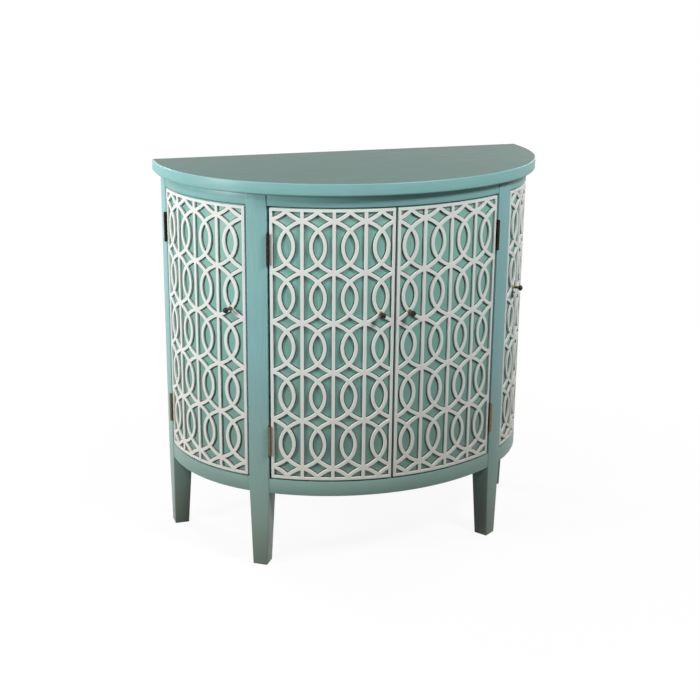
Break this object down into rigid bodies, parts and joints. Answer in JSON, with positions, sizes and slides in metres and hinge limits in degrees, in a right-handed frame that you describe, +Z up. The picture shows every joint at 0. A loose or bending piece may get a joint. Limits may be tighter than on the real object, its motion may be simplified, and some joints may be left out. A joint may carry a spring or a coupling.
{
  "type": "demilune accent chest",
  "caption": "Half-round painted chest on tapered legs, with curved hinged doors faced in white circle-and-bar fretwork, dark knobs and shelves inside.",
  "frame": {"origin": "on the floor, under the middle of the overall box", "axes": "+X to the right seen from the front, +Y to the back, +Z up"},
  "size_m": [0.8732, 0.4166, 0.864],
  "materials": {
    "teal_paint": "satin duck-egg teal paint on wood",
    "inside_paint": "matt teal paint on board",
    "white_paint": "satin off-white paint on wood",
    "dark_bronze": "dark bronzed metal",
    "antique_brass": "antique brass, darkened",
    "steel": "zinc-plated steel",
    "catch_body": "brown moulded plastic"
  },
  "bodies": {
    "carcass": {"top_panel": "teal_paint", "rear_left_leg": "teal_paint", "rear_right_leg": "teal_paint", "front_left_leg": "teal_paint", "front_right_leg": "teal_paint", "top_rails": "teal_paint", "bottom_rails": "teal_paint", "bottom_panel": "inside_paint", "back_panel": "inside_paint", "back_top_rail": "inside_paint", "back_bottom_rail": "inside_paint", "left_partition": "inside_paint", "right_partition": "inside_paint", "shelves": "inside_paint", "shelf_cleats": "inside_paint", "corner_blocks": "inside_paint", "magnetic_catches": "catch_body", "left_frame_hinge_leaves": "antique_brass", "centre_left_frame_hinge_leaves": "antique_brass", "centre_right_frame_hinge_leaves": "antique_brass", "right_frame_hinge_leaves": "antique_brass"},
    "left_door": {"left_door_panel": "teal_paint", "left_fretwork": "white_paint", "left_knob": "dark_bronze", "left_strike_plate": "steel", "left_door_hinge_leaves": "antique_brass"},
    "centre_left_door": {"centre_left_door_panel": "teal_paint", "centre_left_fretwork": "white_paint", "centre_left_knob": "dark_bronze", "centre_left_strike_plate": "steel", "centre_left_door_hinge_leaves": "antique_brass"},
    "centre_right_door": {"centre_right_door_panel": "teal_paint", "centre_right_fretwork": "white_paint", "centre_right_knob": "dark_bronze", "centre_right_strike_plate": "steel", "centre_right_door_hinge_leaves": "antique_brass"},
    "right_door": {"right_door_panel": "teal_paint", "right_fretwork": "white_paint", "right_knob": "dark_bronze", "right_strike_plate": "steel", "right_door_hinge_leaves": "antique_brass"}
  },
  "joints": [
    {"name": "left_door_hinge", "type": "hinge", "parent": "carcass", "child": "left_door", "pos_m": [-0.42109, 0.15488, 0.51], "axis": [0, 0, -1], "range_deg": [0, 110]},
    {"name": "centre_left_door_hinge", "type": "hinge", "parent": "carcass", "child": "centre_left_door", "pos_m": [-0.25818, -0.11747, 0.51], "axis": [0, 0, -1], "range_deg": [0, 110]},
    {"name": "centre_right_door_hinge", "type": "hinge", "parent": "carcass", "child": "centre_right_door", "pos_m": [0.25818, -0.11747, 0.51], "axis": [0, 0, 1], "range_deg": [0, 110]},
    {"name": "right_door_hinge", "type": "hinge", "parent": "carcass", "child": "right_door", "pos_m": [0.42109, 0.15488, 0.51], "axis": [0, 0, 1], "range_deg": [0, 110]}
  ]
}
